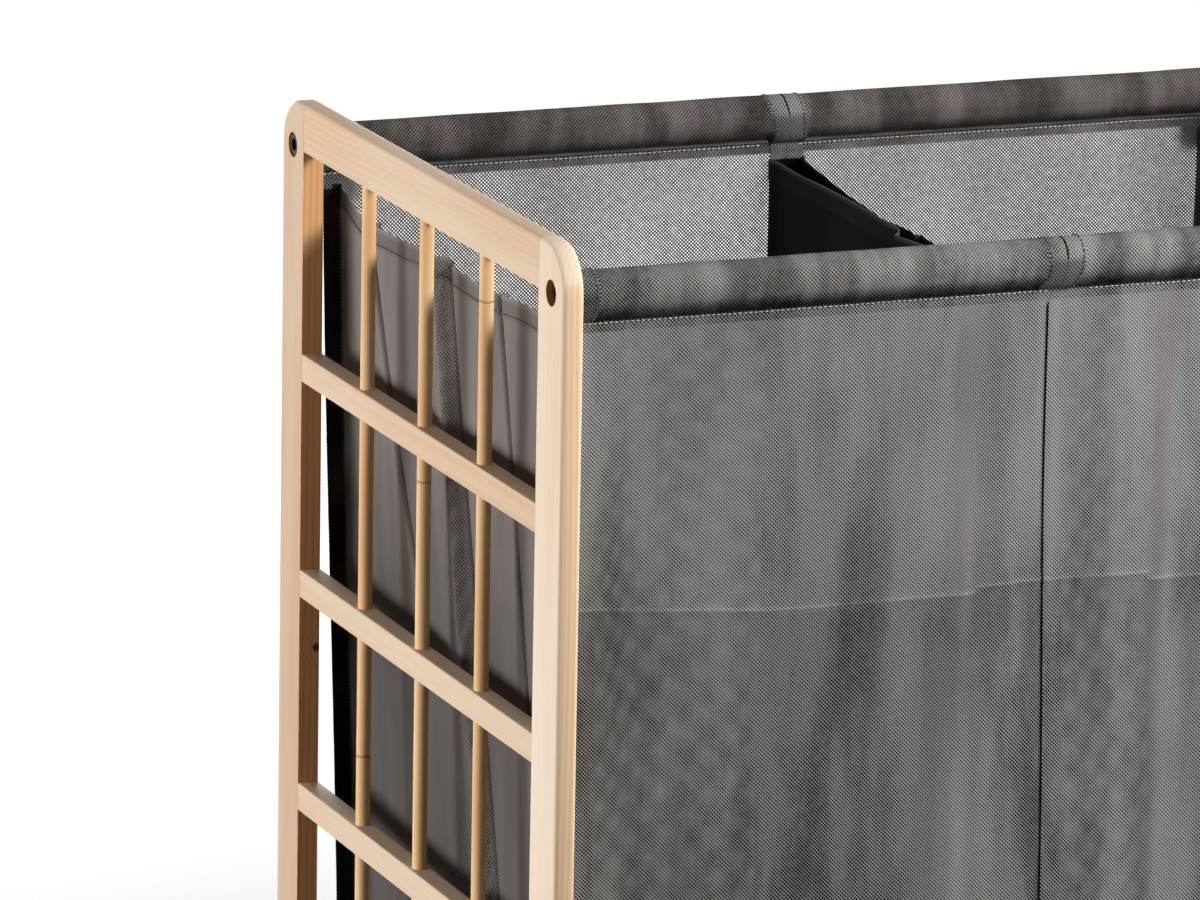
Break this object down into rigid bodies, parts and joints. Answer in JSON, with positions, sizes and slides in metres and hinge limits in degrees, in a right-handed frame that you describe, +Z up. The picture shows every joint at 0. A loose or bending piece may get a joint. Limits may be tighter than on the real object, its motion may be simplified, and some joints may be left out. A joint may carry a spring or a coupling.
{
  "type": "laundry hamper",
  "caption": "Low laundry hamper with two open cloth bags that hang by sewn sleeves from round rods between lattice end frames of pine.",
  "frame": {"origin": "on the floor, under the middle of the hamper", "axes": "+X along the rods to the right, +Y from the front to the back, +Z up"},
  "size_m": [0.59, 0.43, 0.6],
  "materials": {
    "pine": "planed and sanded, clear matt",
    "bamboo": "smooth, clear satin",
    "rod_wood": "turned and sanded, raw",
    "black_steel": "black oxide, slightly oily",
    "zinc_steel": "zinc plated",
    "grey_cloth": "open dotted weave, matt"
  },
  "bodies": {
    "root": {"left_front_stile": "pine", "left_back_stile": "pine", "left_top_rail": "pine", "left_rail_1": "pine", "left_rail_2": "pine", "left_rail_3": "pine", "left_rail_4": "pine", "left_dowel_1": "bamboo", "left_dowel_2": "bamboo", "left_dowel_3": "bamboo", "right_front_stile": "pine", "right_back_stile": "pine", "right_top_rail": "pine", "right_rail_1": "pine", "right_rail_2": "pine", "right_rail_3": "pine", "right_rail_4": "pine", "right_dowel_1": "bamboo", "right_dowel_2": "bamboo", "right_dowel_3": "bamboo", "front_top_rod": "rod_wood", "back_top_rod": "rod_wood", "front_bottom_rod": "rod_wood", "back_bottom_rod": "rod_wood", "left_front_top_bolt": "black_steel", "left_back_top_bolt": "black_steel", "left_front_bottom_bolt": "black_steel", "left_back_bottom_bolt": "black_steel", "right_front_top_bolt": "black_steel", "right_back_top_bolt": "black_steel", "right_front_bottom_bolt": "black_steel", "right_back_bottom_bolt": "black_steel", "left_front_top_insert": "zinc_steel", "left_back_top_insert": "zinc_steel", "left_front_bottom_insert": "zinc_steel", "left_back_bottom_insert": "zinc_steel", "right_front_top_insert": "zinc_steel", "right_back_top_insert": "zinc_steel", "right_front_bottom_insert": "zinc_steel", "right_back_bottom_insert": "zinc_steel", "left_bag_front_panel": "grey_cloth", "left_bag_back_panel": "grey_cloth", "left_bag_left_end": "grey_cloth", "left_bag_right_end": "grey_cloth", "left_bag_base": "grey_cloth", "right_bag_front_panel": "grey_cloth", "right_bag_back_panel": "grey_cloth", "right_bag_left_end": "grey_cloth", "right_bag_right_end": "grey_cloth", "right_bag_base": "grey_cloth"}
  },
  "joints": []
}
